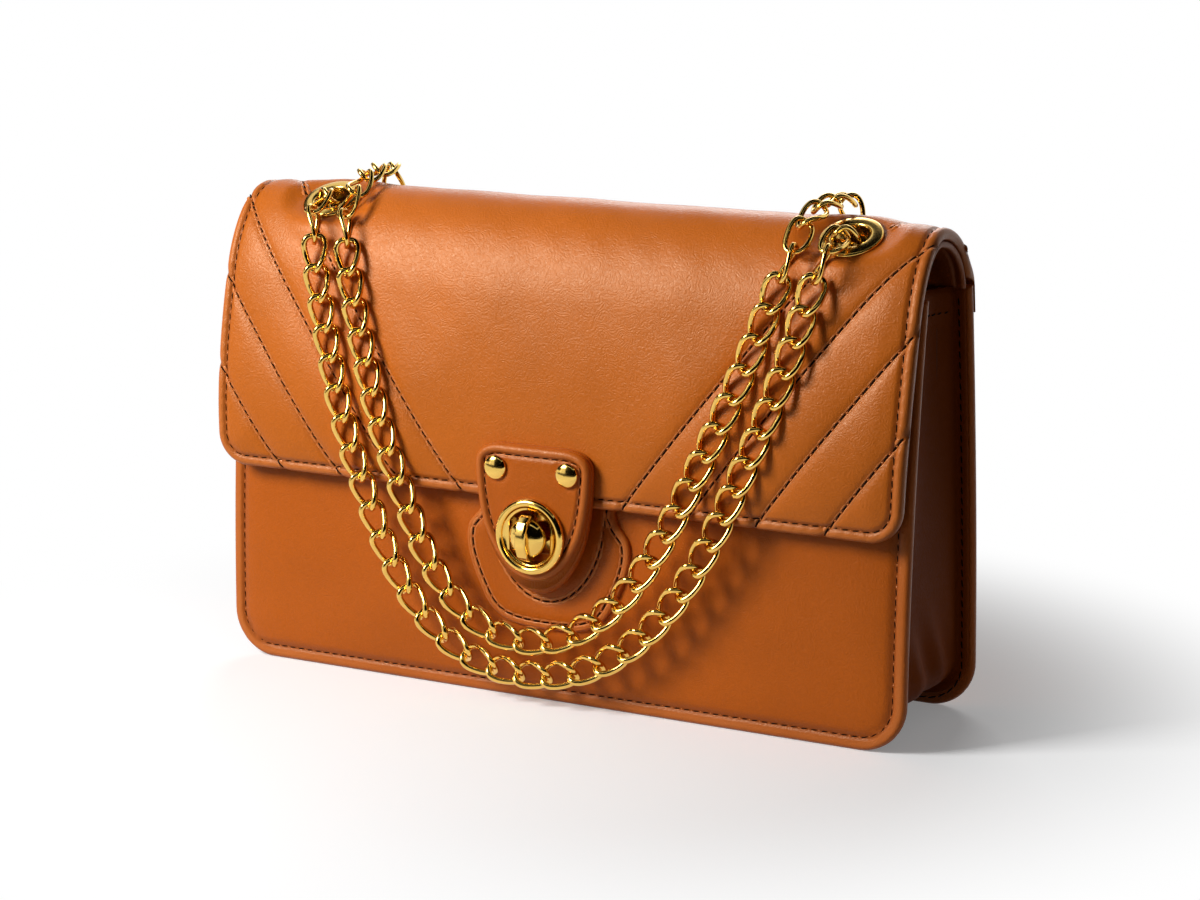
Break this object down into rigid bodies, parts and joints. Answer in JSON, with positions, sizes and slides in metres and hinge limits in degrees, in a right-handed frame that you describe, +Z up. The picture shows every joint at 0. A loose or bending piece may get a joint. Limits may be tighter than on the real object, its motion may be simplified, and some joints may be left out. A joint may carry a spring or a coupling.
{
  "type": "leather chain shoulder bag",
  "caption": "Structured leather shoulder bag with a chevron-stitched flap, a turn lock on a shaped tab, side gussets and a doubled curb-chain strap through eyelets.",
  "frame": {"origin": "on the floor under the middle of the whole bag's box", "axes": "+X along the bag's width, front faces -Y, +Z up"},
  "size_m": [0.255, 0.0808, 0.1721],
  "materials": {
    "smooth_leather": "semi-gloss cognac leather with fine grain",
    "gusset_leather": "semi-gloss cognac leather, folded",
    "lining_leather": "smooth thin lining leather",
    "board": "dense bonded leather board",
    "lining_cloth": "dark brown woven cloth",
    "gold_metal": "polished pale gold plating",
    "gold_chain": "polished pale gold plating",
    "plain_brass": "plain brass washers and backing plates"
  },
  "bodies": {
    "body": {"front_panel": "smooth_leather", "back_panel": "smooth_leather", "gusset": "gusset_leather", "front_board": "board", "back_board": "board", "base_board": "board", "lining": "lining_cloth", "lining_pocket": "lining_cloth", "shield_patch": "smooth_leather", "lock_base": "gold_metal", "lock_washer": "plain_brass"},
    "flap": {"flap_leather": "smooth_leather", "flap_lining": "lining_leather", "lock_tab": "smooth_leather", "tab_backing": "lining_leather", "ring_back_plate": "plain_brass", "lock_ring": "gold_metal", "tab_rivets": "gold_metal", "rivet_caps": "plain_brass", "front_grommets": "gold_metal", "rear_grommets": "gold_metal", "grommet_washers": "plain_brass", "chain_return_left": "gold_chain", "chain_return_right": "gold_chain"},
    "knob": {"turn_knob": "gold_metal"},
    "strap_outer": {"chain_outer": "gold_chain"},
    "strap_inner": {"chain_inner": "gold_chain"}
  },
  "joints": [
    {"name": "flap_hinge", "type": "hinge", "parent": "body", "child": "flap", "pos_m": [0, 0.02885, 0.143], "axis": [-1, 0, 0], "range_deg": [0, 130]},
    {"name": "knob_turn", "type": "hinge", "parent": "body", "child": "knob", "pos_m": [0, -0.02155, 0.059], "axis": [0, 1, 0], "range_deg": [0, 90]},
    {"name": "strap_outer_swing", "type": "hinge", "parent": "flap", "child": "strap_outer", "pos_m": [0, -0.01909, 0.1576], "axis": [-1, 0, 0], "range_deg": [0, 145]},
    {"name": "strap_inner_swing", "type": "hinge", "parent": "flap", "child": "strap_inner", "pos_m": [0, -0.01782, 0.15649], "axis": [-1, 0, 0], "range_deg": [0, 130]}
  ]
}
